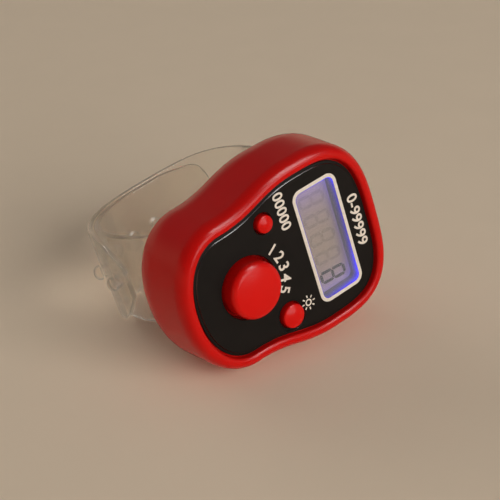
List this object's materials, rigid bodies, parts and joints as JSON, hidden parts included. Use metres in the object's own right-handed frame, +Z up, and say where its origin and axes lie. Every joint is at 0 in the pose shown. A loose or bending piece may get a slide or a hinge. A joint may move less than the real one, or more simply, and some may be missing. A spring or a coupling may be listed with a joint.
{
  "type": "finger tally counter",
  "caption": "Pear-shaped finger tally counter with a domed count button, small side buttons, a lit display and a clear strap looped behind for a finger.",
  "frame": {"origin": "middle of the counter's footprint, on the surface that it stands on", "axes": "+Z up with the counter standing on its long side, -Y the way the face panel looks (it leans back about ten degrees), +X from the count button towards the display"},
  "size_m": [0.039, 0.04, 0.0316],
  "materials": {
    "red_abs": "glossy red ABS moulding",
    "black_panel": "satin black panel with light printed lines",
    "clear_window": "clear acrylic window",
    "light_guide": "light guide frame, glowing blue on two sides",
    "display_glass": "grey display glass with faint segments",
    "white_plastic": "white plastic",
    "grey_rubber": "grey silicone strip",
    "green_board": "green solder mask on glass-epoxy board",
    "black_plastic": "black moulded plastic",
    "black_epoxy": "black epoxy",
    "lamp_resin": "clear lamp resin",
    "bright_steel": "bright nickel-plated steel",
    "clear_band": "clear soft TPU, glossy"
  },
  "bodies": {
    "case": {"front_shell": "red_abs", "back_cover": "red_abs", "face_panel": "black_panel", "display_window": "clear_window", "light_frame": "light_guide", "display_glass": "display_glass", "display_diffuser": "white_plastic", "capacitor": "white_plastic", "connector_strip": "grey_rubber", "circuit_board": "green_board", "count_switch": "black_plastic", "reset_switch": "black_plastic", "lamp_switch": "black_plastic", "cell_tray": "black_plastic", "chip_cap": "black_epoxy", "resistor": "black_epoxy", "blue_lamp": "lamp_resin", "upper_cell": "bright_steel", "lower_cell": "bright_steel", "upper_contact": "bright_steel", "lower_contact": "bright_steel", "bridge_contact": "bright_steel", "case_screw_1": "bright_steel", "case_screw_2": "bright_steel", "case_screw_3": "bright_steel", "case_screw_4": "bright_steel", "board_screw_1": "bright_steel", "board_screw_2": "bright_steel", "band_peg_half": "clear_band", "band_hole_half": "clear_band"},
    "count_key": {"count_button": "red_abs"},
    "reset_key": {"reset_button": "red_abs"},
    "lamp_key": {"lamp_button": "red_abs"}
  },
  "joints": [
    {"name": "count_press", "type": "slide", "parent": "case", "child": "count_key", "axis": [0, 0.9862, -0.1656], "range_m": [0, 0.0004], "stiffness_N_per_m": 450},
    {"name": "reset_press", "type": "slide", "parent": "case", "child": "reset_key", "axis": [0, 0.9862, -0.1656], "range_m": [0, 0.0003], "stiffness_N_per_m": 450},
    {"name": "lamp_press", "type": "slide", "parent": "case", "child": "lamp_key", "axis": [0, 0.9862, -0.1656], "range_m": [0, 0.0003], "stiffness_N_per_m": 450}
  ]
}
